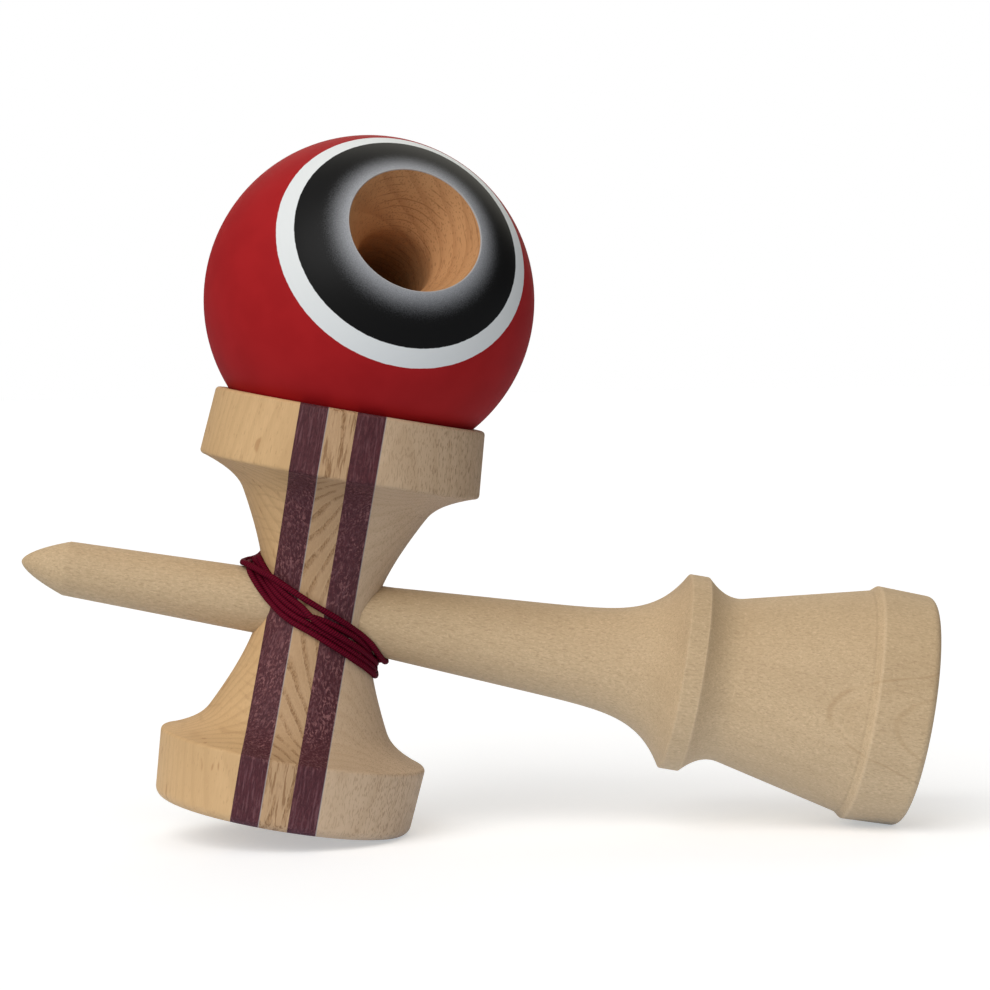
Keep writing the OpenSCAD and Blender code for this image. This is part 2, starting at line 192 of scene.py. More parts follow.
def softened(line, width, closed=False, step=0.04, longest=1.0, turn=5.0):
    """A profile [along, radius] with its corners eased: evenly resampled, averaged over a bell curve of
    the given width, then thinned so that no step is longer than `longest` or turns more than `turn`
    degrees. An open profile starts and ends on the axis, where it runs on mirrored."""
    line = np.asarray(line, float)
    if closed:
        line = np.vstack([line, line[:1]])
    line = line[np.append(True, steps(line) > 1e-9)]
    along = run(line)
    even = sampled(line, along, np.linspace(0, along[-1], int(along[-1] / step) + 1))
    reach = int(4 * width / step) + 1
    bell = np.exp(-0.5 * (np.arange(-reach, reach + 1) * step / width) ** 2)
    bell /= bell.sum()
    if closed:
        padded = np.vstack([even[-reach - 1:-1], even, even[1:reach + 1]])
    else:
        flip = np.array([1, -1])
        padded = np.vstack([even[reach:0:-1] * flip, even, even[-2:-reach - 2:-1] * flip])
    soft = np.stack([np.convolve(column, bell, "valid") for column in padded.T], 1)
    if not closed:
        soft[[0, -1], 1] = 0
    ways = np.unwrap(np.arctan2(*np.diff(soft, axis=0).T[::-1]))
    bends = np.abs(np.gradient(ways)) / math.radians(turn)
    spent = np.append(0, np.cumsum(np.maximum(steps(soft) / longest, bends)))
    kept = sampled(soft, spent, np.linspace(0, spent[-1], int(spent[-1]) + 2))
    return kept[:-1] if closed else kept


def angles(count):
    """Even angles once round."""
    return np.linspace(0, 2 * np.pi, count, endpoint=False)


def turned(profile, count):
    """A turned surface: each profile point [along, radius] carried round the first axis in even steps,
    giving (along, radius cos, radius sin)."""
    a = angles(count)
    along, r = np.broadcast_to(profile[:, :1], (len(profile), count)), profile[:, 1:]
    return np.stack([along, r * np.cos(a), r * np.sin(a)], -1)


def grid_faces(rows, columns, start=0, wrap_rows=False, wrap_columns=False):
    """Quads between neighbouring rows and columns of a grid of points, as an index array."""
    i = np.arange(rows if wrap_rows else rows - 1)[:, None]
    j = np.arange(columns if wrap_columns else columns - 1)[None]
    corners = [((i + a) % rows) * columns + (j + b) % columns + start
               for a, b in ((0, 0), (0, 1), (1, 1), (1, 0))]
    return np.stack(np.broadcast_arrays(*corners), -1).reshape(-1, 4)


def object_of(name, mesh):
    """A new object of a mesh, in the scene at the origin."""
    piece = bpy.data.objects.new(name, mesh)
    bpy.context.scene.collection.objects.link(piece)
    return piece


def mesh_of(name, points, faces):
    """An object from points in metres and lists of corners, with doubles welded, which closes seams and
    poles, and faces turned outwards."""
    mesh = bpy.data.meshes.new(name)
    mesh.from_pydata(points.tolist(), [], [list(f) for f in faces])
    work = bmesh.new()
    work.from_mesh(mesh)
    bmesh.ops.remove_doubles(work, verts=work.verts, dist=2e-7)
    bmesh.ops.dissolve_degenerate(work, edges=work.edges, dist=1e-8)
    bmesh.ops.recalc_face_normals(work, faces=work.faces)
    work.to_mesh(mesh)
    work.free()
    return object_of(name, mesh)


def smoothed(piece):
    """Smooth shading, with edges that turn by more than the crisp angle kept."""
    crisp = math.radians(38)
    piece.data.shade_smooth()
    piece.data.set_sharp_from_angle(angle=crisp)
    piece.data.update()
    return piece


def turned_piece(name, profile, count, place, closed):
    """A turned object: its profile carried round its axis, and put in place by a function."""
    faces = grid_faces(len(profile), count, wrap_rows=closed, wrap_columns=True)
    return smoothed(mesh_of(name, place(turned(profile, count).reshape(-1, 3)), faces))


def put(piece, body, slot, material, *nodes):
    """Rides a piece on its body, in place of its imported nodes, with its finish."""
    piece.data.materials.clear()
    piece.data.materials.append(material)
    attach(piece, body)
    if nodes:
        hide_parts(*nodes)


# Profiles of the turned pieces

# How wide the bell curve is that eases corners, on the woods, the ball and the bead
WOOD_SOFT, BALL_SOFT, BEAD_SOFT = 0.13, 0.1, 0.12


def corner(along, radius, size, way):
    """A rounded outer corner at [along, radius] that faces along a way: a quarter of a circle."""
    a = np.radians(np.linspace(90, 0, 16) + (90 if way < 0 else 0))
    return np.c_[along - way * size + size * np.cos(a), radius - size + size * np.sin(a)]


def dish(floor, way, radius, depth):
    """A cup's arc as [along, radius] from the middle of its floor to its rim, rising along a way."""
    arc_r = (radius ** 2 + depth ** 2) / (2 * depth)
    a = np.linspace(0, math.asin(radius / arc_r), 40)
    return np.c_[floor + way * (arc_r - arc_r * np.cos(a)), arc_r * np.sin(a)]


def taper_r(x):
    """Radius of the ken's taper, a straight line in x."""
    return TAPER_R[0] + (TAPER_R[1] - TAPER_R[0]) * (x + TAPER_HALF) / (2 * TAPER_HALF)


def ken_r(x):
    """Radius of the spike, the taper and the grip: two straight lines, then a line plus a high power."""
    nose_x = TIP_X + NOSE_LENGTH
    spike = SPIKE_R + (TAPER_R[0] - SPIKE_R) * (x - nose_x) / (-TAPER_HALF - nose_x)
    t = np.clip((x - TAPER_HALF) / (FLANGE_X[0] - TAPER_HALF), 0, 1)
    grip = TAPER_R[1] + (GRIP_R - TAPER_R[1]) * t + (FLANGE_R - GRIP_R) * t ** GRIP_SWEEP
    return np.where(x < -TAPER_HALF, spike, np.where(x < TAPER_HALF, taper_r(x), grip))


def ken_profile():
    """The ken's outline from its tip to the middle of the base cup. The nose's radius is a power of the
    way from the tip; behind the flange a squared cove falls onto a straight flare; the cup is an arc."""
    t = np.linspace(0, 1, 60) ** 1.7
    nose = np.c_[TIP_X + NOSE_LENGTH * t, SPIKE_R * t ** NOSE_POWER]
    shaft = np.linspace(TIP_X + NOSE_LENGTH + 0.1, FLANGE_X[0], 220)
    cove = np.linspace(FLANGE_X[1], STEP_X[0], 120)
    way = (cove - FLANGE_X[1]) / (STEP_X[0] - FLANGE_X[1])
    fall = np.clip((cove - FLANGE_X[1]) / COVE_LENGTH, 0, 1)
    flare = FLARE_R[0] + (FLARE_R[1] - FLARE_R[0]) * way + (FLANGE_R - FLARE_R[0]) * (1 - fall) ** 2
    rim = corner(BASE_X, BASE_RIM_R, BASE_RIM_ROUND, 1)
    cup = dish(BASE_X - BASE_CUP_DEPTH, 1, BASE_CUP_R, BASE_CUP_DEPTH)[::-1]
    return softened(np.vstack([nose, np.c_[shaft, ken_r(shaft)], np.c_[cove, flare],
                               [[STEP_X[1], BASE_BAND_R]], rim, cup]), WOOD_SOFT)


def spread(z):
    """How fast the waist widens, above and below the crossing."""
    return np.where(z > 0, BIG_SPREAD, SMALL_SPREAD)


def waist_r(z):
    """Radius of the waist: a hyperbola through the crossing, a little wider above than below."""
    return np.hypot(WAIST_R, spread(z) * z)


def sarado_profile():
    """The sarado's outline as [height, radius], from the middle of the small cup to that of the big cup.
    Shoulders add a power of the way to the band's edge; rims are rounded; the cups are arcs."""
    small_cup = dish(SMALL_CUP_DEPTH - SMALL_REACH, -1, SMALL_CUP_R, SMALL_CUP_DEPTH)
    small_rim = corner(-SMALL_REACH, SMALL_RIM_R, SMALL_RIM_ROUND, -1)
    small_edge = corner(-SMALL_BAND_Z, SMALL_BAND_R, EDGE_ROUND, 1)
    z = np.linspace(-SMALL_BAND_Z, BIG_BAND_Z, 260)
    edge_z = np.where(z > 0, BIG_BAND_Z, SMALL_BAND_Z)
    edge_r = np.where(z > 0, BIG_BAND_R, SMALL_BAND_R) - EDGE_ROUND
    t = np.clip((np.abs(z) - edge_z + SHOULDER_DEPTH) / SHOULDER_DEPTH, 0, 1)
    middle = waist_r(z) + (edge_r - waist_r(np.sign(z) * edge_z)) * t ** SHOULDER_POWER
    big_edge = corner(BIG_BAND_Z, BIG_BAND_R, EDGE_ROUND, -1)
    big_rim = corner(BIG_REACH, BIG_RIM_R, EDGE_ROUND, 1)
    sink = BALL_R + BIG_REACH - BALL_RISE + BIG_CUP_ROOM
    big_cup = dish(BIG_REACH - sink, 1, BIG_CUP_R, sink)[::-1]
    return softened(np.vstack([small_cup, small_rim, small_edge, np.c_[z, middle],
                               big_edge, big_rim, big_cup]), WOOD_SOFT)


def ball_profile():
    """The ball's closed outline [along, radius]: round the outside from the string hole to the mouth,
    down the bevel, the bore, the bead's seat and the drill's point, and out along the string hole. A
    quadratic curve eases the edge between bevel and bore."""
    mouth = math.asin(HOLE_MOUTH_R / BALL_R)
    a = np.linspace(math.pi - math.asin(BALL_STRING_HOLE_R / BALL_R), mouth, 200)
    outside = BALL_R * np.c_[np.cos(a), np.sin(a)]
    top = BALL_R * math.cos(mouth) - BEVEL_DEPTH
    end = top - BORE_LENGTH
    seat = end - SEAT_LENGTH
    foot = seat - (SEAT_R - BALL_STRING_HOLE_R) / DRILL_SLOPE
    slope = unit([BEVEL_DEPTH, HOLE_MOUTH_R - HOLE_BORE_R])
    t = np.linspace(0, 1, 20)[:, None]
    eased = np.array([top, HOLE_BORE_R]) + BORE_EASE * ((1 - t) ** 2 * slope + t ** 2 * np.array([-1, 0]))
    inside = [[end, HOLE_BORE_R], [end, SEAT_R], [seat, SEAT_R], [foot, BALL_STRING_HOLE_R]]
    return softened(np.vstack([outside, eased, inside]), BALL_SOFT, closed=True)


def bead_profile():
    """The bead's closed outline: a round side, flat ends, and its string hole."""
    end = math.acos(BEAD_HALF / BEAD_R)
    a = np.linspace(math.pi - end, end, 40)
    side = BEAD_R * np.c_[np.cos(a), np.sin(a)]
    hole = [[BEAD_HALF, BEAD_HOLE_R], [-BEAD_HALF, BEAD_HOLE_R]]
    return softened(np.vstack([side, hole]), BEAD_SOFT, closed=True, longest=0.5) + (BEAD_Z, 0)


def with_radius(profile, radius):
    """The profile with points added where it first and last passes a radius."""
    above = np.flatnonzero(profile[:, 1] > radius)
    for k in (above[-1] + 1, above[0]):
        step = profile[k] - profile[k - 1]
        share = (radius - profile[k - 1, 1]) / step[1]
        if 1e-6 < share < 1 - 1e-6:
            profile = np.insert(profile, k, profile[k - 1] + share * step, axis=0)
            profile[k, 1] = radius
    return profile


def slice_mesh(name, profile, left, right, columns):
    """A slice of the turned sarado between the planes x = left and x = right. Each profile point
    [z, r] spans the angles acos(right / r) to acos(left / r), with x = r cos and y = -r sin in front
    and r sin behind. The planes themselves are closed by the loops that the sheets' edges make."""
    near = 0 if left < 0 < right else min(abs(left), abs(right))
    for radius in sorted({near, abs(left), abs(right)}):
        if 0 < radius < BIG_BAND_R:
            profile = with_radius(profile, radius)
    profile = profile[profile[:, 1] >= near - 1e-9]
    z, r = profile[:, :1], np.maximum(profile[:, 1:], 1e-9)
    start = np.arccos(np.clip(right / r, -1, 1))
    stop = np.arccos(np.clip(left / r, -1, 1))
    a = start + (stop - start) * np.linspace(0, 1, columns)
    x, y = r * np.cos(a), r * np.sin(a)
    z = np.broadcast_to(z, x.shape)
    sheets = [np.stack([x, -y, z], -1), np.stack([x, y, z], -1)]
    points = np.vstack([s.reshape(-1, 3) for s in sheets])
    faces = grid_faces(*x.shape).tolist() + grid_faces(*x.shape, start=x.size).tolist()
    for plane, column in ((right, 0), (left, columns - 1)):
        inside = profile[:, 1] >= abs(plane) - 1e-9
        if inside.any():
            loop = np.vstack([sheets[0][inside, column], sheets[1][inside, column][::-1]])
            loop = loop[np.append(True, steps(loop) > 1e-6)]
            if np.linalg.norm(loop[0] - loop[-1]) < 1e-6:
                loop = loop[:-1]
            faces.append(list(range(len(points), len(points) + len(loop))))
            points = np.vstack([points, loop])
    return mesh_of(name, laid(points), faces)


def rod_mesh(name, start, stop, radii, count):
    """A closed rod or cone between two points in mm, with a radius at each, to cut with."""
    side, other = square_to(unit(np.subtract(stop, start)))
    a = angles(count)[:, None]
    ring = np.cos(a) * side + np.sin(a) * other
    points = np.vstack([start + radii[0] * ring, stop + radii[1] * ring])
    faces = grid_faces(2, count, wrap_columns=True).tolist()
    return mesh_of(name, laid(points), faces + [list(range(count)), list(range(count, 2 * count))])


def cut(piece, cutters):
    """Takes the cutting shapes out of a piece and applies the result to its mesh."""
    for cutter in cutters:
        change = piece.modifiers.new("cut", "BOOLEAN")
        change.object = cutter
        change.operation = "DIFFERENCE"
        change.solver = "MANIFOLD"
    bpy.context.view_layer.update()
    shown = piece.evaluated_get(bpy.context.evaluated_depsgraph_get())
    done = bpy.data.meshes.new_from_object(shown)
    piece.modifiers.clear()
    piece.data = done


# Finishes

class Graph:
    """Adds nodes to one node tree. An input given as a socket is linked, and anything else is set."""

    def __init__(self, tree):
        self.tree = tree
        self.place = None

    def feed(self, socket, value):
        """Links an output to an input, or sets the input to a value. A colour covers fully."""
        if isinstance(value, bpy.types.NodeSocket):
            self.tree.links.new(value, socket)
        else:
            socket.default_value = (*value, 1) if socket.type == "RGBA" else value

    def outputs(self, kind, inputs=None, **settings):
        """The outputs of a new shader node, after its settings and inputs are in."""
        node = self.tree.nodes.new("ShaderNode" + kind)
        for key, value in settings.items():
            setattr(node, key, value)
        for key, value in (inputs or {}).items():
            self.feed(node.inputs[key], value)
        return node.outputs

    def add(self, kind, inputs, **settings):
        return self.outputs(kind, inputs, **settings)[0]

    def math(self, operation, *values, clamp=False):
        return self.add("Math", dict(enumerate(values)), operation=operation, use_clamp=clamp)

    def times(self, first, *others):
        for other in others:
            first = self.math("MULTIPLY", first, other)
        return first

    def line(self, value, slope, start):
        """A value times a slope, plus a start."""
        return self.math("MULTIPLY_ADD", value, slope, start)

    def off(self, value, middle):
        """How far a value is off a middle."""
        return self.math("ABSOLUTE", self.math("SUBTRACT", value, middle))

    def vector(self, operation, *values, out=0):
        return self.outputs("VectorMath", dict(enumerate(values)), operation=operation)[out]

    def scaled(self, vector, scale):
        return self.vector("MULTIPLY", vector, scale)

    def joined(self, x, y, z=0):
        return self.add("CombineXYZ", {0: x, 1: y, 2: z})

    def parts(self, vector):
        return tuple(self.outputs("SeparateXYZ", {0: vector}))

    def noise(self, scale, detail=2, roughness=0.5, at=None):
        """Noise at a scale, or at three scales along the ways of the place."""
        at = self.place if at is None else at
        if isinstance(scale, tuple):
            at, scale = self.scaled(at, scale), 1
        return self.add("TexNoise", {"Vector": at, "Scale": scale, "Detail": detail,
                                     "Roughness": roughness})

    def step(self, value, low, high, to_low=0, to_high=1):
        """A smooth step from to_low at low to to_high at high."""
        return self.add("MapRange", {0: value, 1: low, 2: high, 3: to_low, 4: to_high},
                        interpolation_type="SMOOTHSTEP")

    def mix(self, share, first, second):
        """A mix of two colours."""
        return self.outputs("Mix", {0: share, 6: first, 7: second}, data_type="RGBA")[2]

    def layered(self, tone, *layers):
        """A tone with (mask, share, colour) layers mixed over it in turn."""
        for mask, share, over in layers:
            tone = self.mix(self.times(mask, share), tone, over)
        return tone

    def bump(self, height, strength, distance):
        return self.add("Bump", {"Strength": strength, "Distance": distance, "Height": height})


def wood_grain_group():
    """Growth rings, fibres and pores of a block of wood whose grain runs along z, in mm. Rings are the
    distance from the pith, bent by slow noise and folded into ring widths: a line that darkens toward
    the ring's end, and the early wood just past it. Fibres are noise drawn out along z. Pores are the
    peaks of a shorter drawn-out noise. Cloud is slow drawn-out noise."""
    tree = bpy.data.node_groups.new("wood_grain", "ShaderNodeTree")
    for in_out, kind, labels in (
        ("INPUT", "NodeSocketVector", ("Place", "Pith")),
        ("INPUT", "NodeSocketFloat", ("Ring width", "Wander", "Pore size", "Pore share")),
        ("OUTPUT", "NodeSocketFloat", ("Rings", "Early", "Fibres", "Pores", "Cloud")),
    ):
        for label in labels:
            tree.interface.new_socket(label, in_out=in_out, socket_type=kind)
    g = Graph(tree)
    given = tree.nodes.new("NodeGroupInput").outputs
    g.place = given["Place"]
    slow = g.math("SUBTRACT", g.noise((0.05, 0.05, 0.018), 3), 0.5)
    fine = g.math("SUBTRACT", g.noise((0.5, 0.5, 0.05)), 0.5)
    from_pith = g.scaled(g.vector("SUBTRACT", g.place, given["Pith"]), (1, 1, 0))
    bent = g.line(slow, given["Wander"], g.vector("LENGTH", from_pith, out=1))
    turn = g.math("FRACT", g.math("DIVIDE", g.line(fine, 0.35, bent), given["Ring width"]))
    size = given["Pore size"]
    small = g.vector("DIVIDE", g.scaled(g.place, (1, 1, 0.2)), g.joined(size, size, size))
    low = g.math("SUBTRACT", 1, given["Pore share"])
    results = tree.nodes.new("NodeGroupOutput").inputs
    for label, mask in (
        ("Rings", g.times(g.step(turn, 0.45, 0.92), g.step(turn, 0.92, 1, 1, 0))),
        ("Early", g.times(g.step(turn, 0, 0.12), g.step(turn, 0.2, 0.55, 1, 0))),
        ("Fibres", g.step(g.noise((3.6, 3.6, 0.13), 4, 0.62), 0.3, 0.7)),
        ("Pores", g.step(g.noise(1, 1, 0.4, at=small), low, g.math("ADD", low, 0.07))),
        ("Cloud", g.step(g.noise((0.09, 0.09, 0.035)), 0.25, 0.75)),
    ):
        g.feed(results[label], mask)
    return tree


WOOD_GRAIN = wood_grain_group()


class Finish(Graph):
    """A material of one Principled shader. Its place is in mm along the given ways from a middle."""

    def __init__(self, name, ways=None, middle=CROSSING):
        self.material = bpy.data.materials.new(name)
        self.material.use_nodes = True
        super().__init__(self.material.node_tree)
        self.tree.nodes.clear()
        shader = self.tree.nodes.new("ShaderNodeBsdfPrincipled")
        self.shader = shader.inputs
        self.feed(self.tree.nodes.new("ShaderNodeOutputMaterial").inputs[0], shader.outputs[0])
        if ways is not None:
            given = {"Vector": self.outputs("TexCoord")["Object"], "Location": tuple(middle),
                     "Rotation": tuple(Matrix(ways.tolist()).to_euler("XYZ")), "Scale": (0.001,) * 3}
            self.place = self.add("Mapping", given, vector_type="TEXTURE")

    def grain(self, pith, ring_width, wander, pore_size, pore_share, at=None):
        """The wood grain's rings, early wood, fibres, pores and cloud for one block."""
        given = {"Place": self.place if at is None else at, "Pith": pith, "Ring width": ring_width,
                 "Wander": wander, "Pore size": pore_size, "Pore share": pore_share}
        return tuple(self.outputs("Group", given, node_tree=WOOD_GRAIN))

    def glued(self, tone, edges):
        """Thin lines of glue along the planes between strips."""
        x = self.parts(self.place)[0]
        for edge in edges:
            tone = self.layered(tone, (self.step(self.off(x, edge), 0.04, 0.14, 1, 0), 0.6, GLUE))
        return tone

    def height(self):
        """The height above or below the crossing."""
        return self.math("ABSOLUTE", self.parts(self.place)[2])

    def done(self, tone, roughness, specular, **others):
        """Feeds the shader's inputs, others by name with underscores for spaces; gives the material."""
        values = {"Base_Color": tone, "Roughness": roughness, "Specular_IOR_Level": specular, **others}
        for key, value in values.items():
            self.feed(self.shader[key.replace("_", " ")], value)
        return self.material


# The ken's grain runs along it, so its z way is the ken's
KEN_AXES = LAID[:, [1, 2, 0]]
# Painted light and shade at the ken's turned edges: painted highlights along the edges of the flange and
# the base band, and a painted shade line in the corner before the band: place along the ken, half width,
# share and colour
EDGE_HIGHLIGHT, CORNER_SHADE = (0.76, 0.57, 0.36), (0.3, 0.19, 0.1)
KEN_EDGE_LIGHT_AND_SHADE = ((66.3, 0.35, 0.12, EDGE_HIGHLIGHT), (69.8, 0.4, 0.2, EDGE_HIGHLIGHT), (99.4, 0.3, 0.16, CORNER_SHADE),
             (100.75, 0.42, 0.24, EDGE_HIGHLIGHT))
# The figure near the base: where each bowed line starts along the ken, its half width and its share
BASE_FIGURE = ((93.5, 0.9, 0.45), (97, 2.4, 0.12), (104, 0.9, 0.3))


def maple_finish():
    """Pale maple: faint broad rings and clouds, fine fibres, many small dark and light flecks, and near
    the base a flat-sawn figure: thin brown lines along parabolas, the ken's length less a share of the
    squared height. Painted highlights lie along the turned edges, and a painted shade line in the corner
    before the base band."""
    f = Finish("maple", KEN_AXES)
    rings, _, fibres, pores, cloud = f.grain((34, -46, 0), 6, 7, 0.2, 0.42)
    tone = f.mix(cloud, (0.58, 0.418, 0.244), (0.652, 0.473, 0.279))
    speckle = f.noise((2.3, 2.3, 1.3), 3, 0.7)
    tone = f.mix(f.step(speckle, 0.34, 0.68, 0, 0.5), tone, (0.46, 0.318, 0.178))
    fleck = f.step(f.noise((2.9, 2.9, 1.9), 2, 0.7), 0.5, 0.72)
    tone = f.layered(tone, (fleck, 0.4, (0.8, 0.61, 0.38)))
    _, up, along = f.parts(f.place)
    up = f.math("ADD", up, 1)
    wave = f.math("SUBTRACT", f.noise((0.09, 0.09, 0.07)), 0.5)
    bow = f.line(wave, 9, f.line(f.times(up, up), -0.17, along))
    fading = f.step(f.noise((0.16, 0.16, 0.1)), 0.3, 0.5, 0.25, 1)
    fading = f.times(f.step(along, 74, 90), fading)
    for start, width, share in BASE_FIGURE:
        thin = f.times(f.step(f.off(bow, start), 0.1 * width, width, 1, 0), fading)
        tone = f.layered(tone, (thin, share, (0.42, 0.26, 0.13)))
    tone = f.layered(
        tone, (rings, 0.14, (0.48, 0.325, 0.18)), (fibres, 0.22, (0.48, 0.342, 0.2)),
        (pores, 0.32, (0.36, 0.23, 0.125)))
    # Painted highlights on the turned edges and a painted shade line in the corner before the base band
    for start, width, share, over in KEN_EDGE_LIGHT_AND_SHADE:
        tone = f.mix(f.step(f.off(along, start), 0.4 * width, width, share, 0), tone, over)
    relief = f.line(pores, -0.8, f.line(fibres, -0.5, speckle))
    return f.done(tone, f.line(fibres, 0.08, 0.56), 0.22, Normal=f.bump(relief, 0.4, 0.00008))


# The planes between strips whose glue shows, and its colour
GLUE_EDGES = (STRIP_EDGES[1], STRIP_EDGES[3])
GLUE = (0.42, 0.38, 0.36)


def warm_block_finish():
    """The spike-side block: warm beech with fine upright fibres, thin ring lines that show as contours
    on the flares, faint marks of the turning tool there, and a few brown spots."""
    f = Finish("cup_wood_warm", LAID)
    rings, _, fibres, pores, cloud = f.grain((-30, -95, 0), 1.55, 2.2, 0.28, 0.35)
    spots = f.step(f.noise((0.55, 0.55, 0.16), 1), 0.69, 0.75)
    flare = f.step(f.height(), 24, 26, 1, 0)
    sway = f.line(f.noise(0.11, 1), 4, f.parts(f.place)[2])
    marks = f.step(f.math("SINE", f.times(sway, 2 * math.pi / 2.1)), 0.55, 0.98)
    marks = f.times(marks, flare, f.step(f.noise(0.17), 0.36, 0.6))
    tone = f.layered(
        f.mix(cloud, (0.62, 0.395, 0.19), (0.7, 0.455, 0.226)), (marks, 0.26, (0.4, 0.22, 0.095)),
        (rings, f.line(flare, 0.13, 0.17), (0.41, 0.225, 0.095)), (fibres, 0.3, (0.51, 0.305, 0.14)),
        (pores, 0.3, (0.38, 0.2, 0.085)), (spots, 0.5, (0.37, 0.17, 0.06)))
    relief = f.line(pores, -0.8, f.times(fibres, -0.5))
    return f.done(tone, f.line(fibres, 0.08, 0.56), 0.22, Normal=f.bump(relief, 0.45, 0.00007))


def pale_block_finish():
    """The base-side block: greyer beech with short dark pores that crowd toward its outer side, and thin
    ring lines on the flares."""
    f = Finish("cup_wood_pale", LAID)
    rings, _, fibres, pores, cloud = f.grain((38, -90, 0), 1.7, 3.5, 0.22, 0.44)
    crowded = f.times(pores, f.step(f.parts(f.place)[0], 5, 22, 0.3, 1))
    tone = f.layered(
        f.mix(cloud, (0.56, 0.395, 0.25), (0.63, 0.452, 0.292)), (rings, 0.2, (0.4, 0.25, 0.135)),
        (fibres, 0.16, (0.46, 0.31, 0.185)), (crowded, 0.6, (0.27, 0.16, 0.08)))
    relief = f.line(pores, -1, f.times(fibres, -0.35))
    return f.done(f.glued(tone, GLUE_EDGES[1:]), f.line(fibres, 0.08, 0.58), 0.2,
                  Normal=f.bump(relief, 0.5, 0.00008))


def dark_strip_finish():
    """Purple-brown wood: fine upright streaks, light in the pores, which are long lines where the cut
    runs with the grain and close wavy sparks where it slants across."""
    f = Finish("dark_strip", LAID)
    wave = f.noise((0.45, 0.45, 0.3), 1)
    bent = f.vector("ADD", f.place, f.scaled(f.joined(wave, wave), (0.9, 1.4, 0)))
    _, _, fibres, pores, cloud = f.grain((60, 25, 0), 5, 5, 0.2, 0.5, at=bent)
    patches = f.step(f.noise((0.4, 0.4, 0.25)), 0.3, 0.65, 0.3, 1)
    slant = f.step(f.height(), 24, 27, 1, 0.18)
    sparks = f.step(f.noise((2.5, 2.5, 1.05), 3, 0.62, at=bent), 0.52, 0.6)
    sparks = f.times(sparks, patches, slant)
    upright = f.step(f.noise((2.6, 2.6, 0.07), 3, 0.6), 0.5, 0.66)
    tone = f.layered(
        f.mix(cloud, (0.086, 0.022, 0.027), (0.116, 0.032, 0.038)),
        (fibres, 0.5, (0.042, 0.013, 0.018)), (pores, 0.3, (0.032, 0.01, 0.013)),
        (upright, 0.6, (0.18, 0.076, 0.084)), (sparks, 0.72, (0.3, 0.128, 0.126)))
    relief = f.line(sparks, -1, f.times(fibres, -0.5))
    return f.done(f.glued(tone, GLUE_EDGES), f.line(fibres, 0.1, 0.5), 0.15,
                  Normal=f.bump(relief, 0.6, 0.0001))


def open_grain_finish():
    """Ash: rings whose early wood is a band of open brown pores. The rings stand askew to the strip, so
    they are upright lines on the bands, with more streaks between, and slanting figures on the flares."""
    f = Finish("open_grain_strip", LAID)
    rings, early, fibres, pores, cloud = f.grain((-48, -72, 0), 1.75, 4, 0.2, 0.5)
    streaks = f.times(early, f.step(f.noise((0.5, 0.5, 0.09)), 0.3, 0.56))
    vessels = f.times(f.line(streaks, 0.9, 0.1), pores)
    upright = f.step(f.noise((1.9, 1.9, 0.06), 3, 0.6), 0.52, 0.62)
    upright = f.times(upright, f.step(f.height(), 24.5, 26))
    tone = f.layered(
        f.mix(cloud, (0.49, 0.31, 0.166), (0.575, 0.372, 0.212)), (rings, 0.3, (0.43, 0.262, 0.13)),
        (fibres, 0.3, (0.4, 0.24, 0.118)), (streaks, 0.6, (0.35, 0.195, 0.088)),
        (vessels, 0.6, (0.2, 0.1, 0.042)), (upright, 0.75, (0.24, 0.122, 0.05)))
    relief = f.line(vessels, -1, f.times(fibres, -0.35))
    return f.done(f.glued(tone, GLUE_EDGES[:1]), f.line(streaks, 0.12, 0.56), 0.2,
                  Normal=f.bump(relief, 0.6, 0.0001))


# The ball's paint by the angle from its hole's axis in degrees: the worn rim of the hole, the sprayed
# grey's fade and its end, the edges of the white ring, and where the paint turns dull
WORN_RIM = (23.95, 24.25)
SPRAY_FADE, SPRAY_END = (22, 34.8), (32, 37)
WHITE_START, RED_START = (42.85, 43.05), (49.85, 50.05)
DULL_START = (49.8, 50.2)


